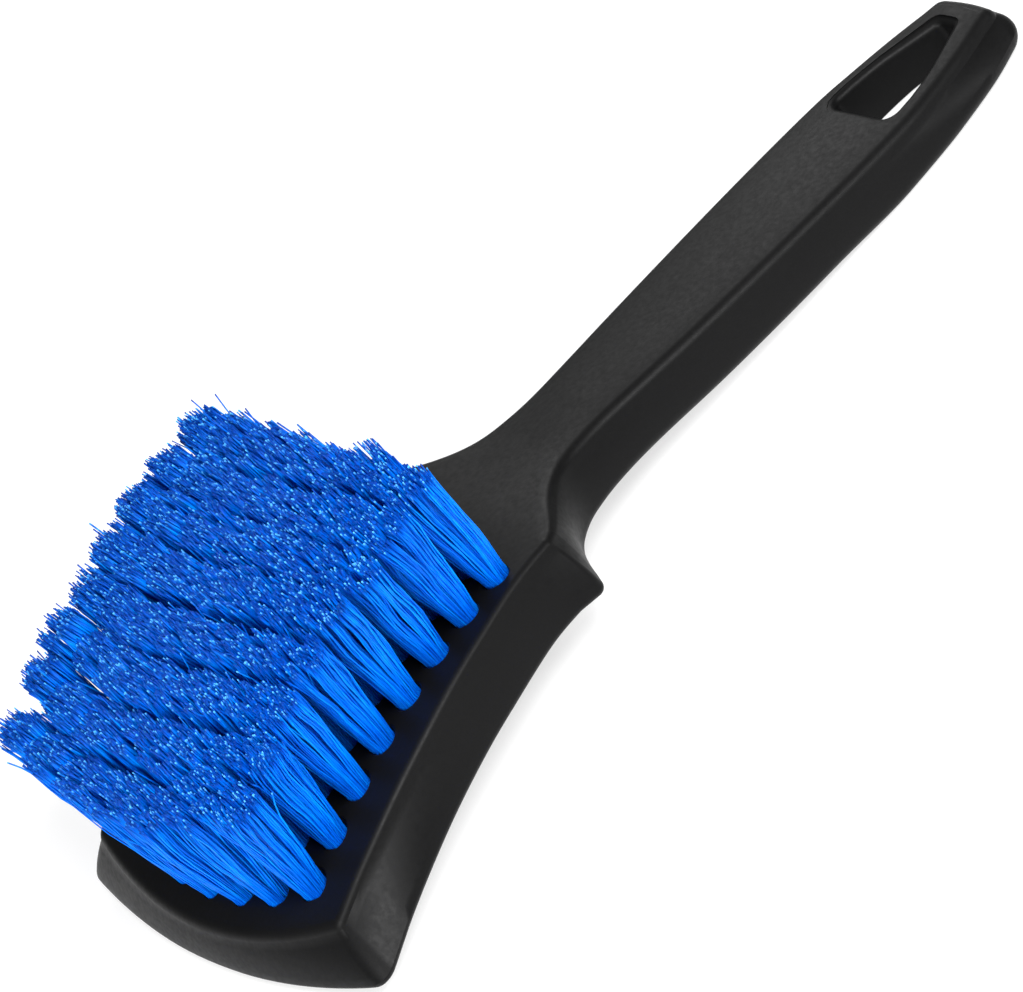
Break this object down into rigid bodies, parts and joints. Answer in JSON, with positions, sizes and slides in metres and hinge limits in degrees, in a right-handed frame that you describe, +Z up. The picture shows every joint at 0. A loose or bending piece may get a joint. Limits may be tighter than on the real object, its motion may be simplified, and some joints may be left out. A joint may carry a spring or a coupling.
{
  "type": "wheel brush",
  "caption": "Short-handled tyre and wheel scrub brush: arched moulded head with rows of stiff bristle tufts, and a tapered handle with a hanging slot.",
  "frame": {"origin": "centre of the brush's outline seen from above, on the floor plane it rests on", "axes": "+X from the head along the handle, +Y across the head, +Z up out of the bristle side; the brush lies on its back"},
  "size_m": [0.2364, 0.0964, 0.0614],
  "materials": {
    "plastic": "satin charcoal black moulded polypropylene",
    "bristle": "royal blue crimped synthetic filament"
  },
  "bodies": {
    "root": {"brush_body": "plastic", "tuft_r1_c1": "bristle", "tuft_r1_c2": "bristle", "tuft_r1_c3": "bristle", "tuft_r1_c4": "bristle", "tuft_r1_c5": "bristle", "tuft_r1_c6": "bristle", "tuft_r1_c7": "bristle", "tuft_r2_c1": "bristle", "tuft_r2_c2": "bristle", "tuft_r2_c3": "bristle", "tuft_r2_c4": "bristle", "tuft_r2_c5": "bristle", "tuft_r2_c6": "bristle", "tuft_r2_c7": "bristle", "tuft_r3_c1": "bristle", "tuft_r3_c2": "bristle", "tuft_r3_c3": "bristle", "tuft_r3_c4": "bristle", "tuft_r3_c5": "bristle", "tuft_r3_c6": "bristle", "tuft_r3_c7": "bristle", "tuft_r4_c1": "bristle", "tuft_r4_c2": "bristle", "tuft_r4_c3": "bristle", "tuft_r4_c4": "bristle", "tuft_r4_c5": "bristle", "tuft_r4_c6": "bristle", "tuft_r4_c7": "bristle", "tuft_r5_c1": "bristle", "tuft_r5_c2": "bristle", "tuft_r5_c3": "bristle", "tuft_r5_c4": "bristle", "tuft_r5_c5": "bristle", "tuft_r5_c6": "bristle", "tuft_r5_c7": "bristle", "tuft_r6_c1": "bristle", "tuft_r6_c2": "bristle", "tuft_r6_c3": "bristle", "tuft_r6_c4": "bristle", "tuft_r6_c5": "bristle", "tuft_r6_c6": "bristle", "tuft_r6_c7": "bristle", "tuft_r7_c1": "bristle", "tuft_r7_c2": "bristle", "tuft_r7_c3": "bristle", "tuft_r7_c4": "bristle", "tuft_r7_c5": "bristle", "tuft_r7_c6": "bristle", "tuft_r7_c7": "bristle", "tuft_r8_c1": "bristle", "tuft_r8_c2": "bristle", "tuft_r8_c3": "bristle", "tuft_r8_c4": "bristle", "tuft_r8_c5": "bristle", "tuft_r8_c6": "bristle", "tuft_r8_c7": "bristle"}
  },
  "joints": []
}
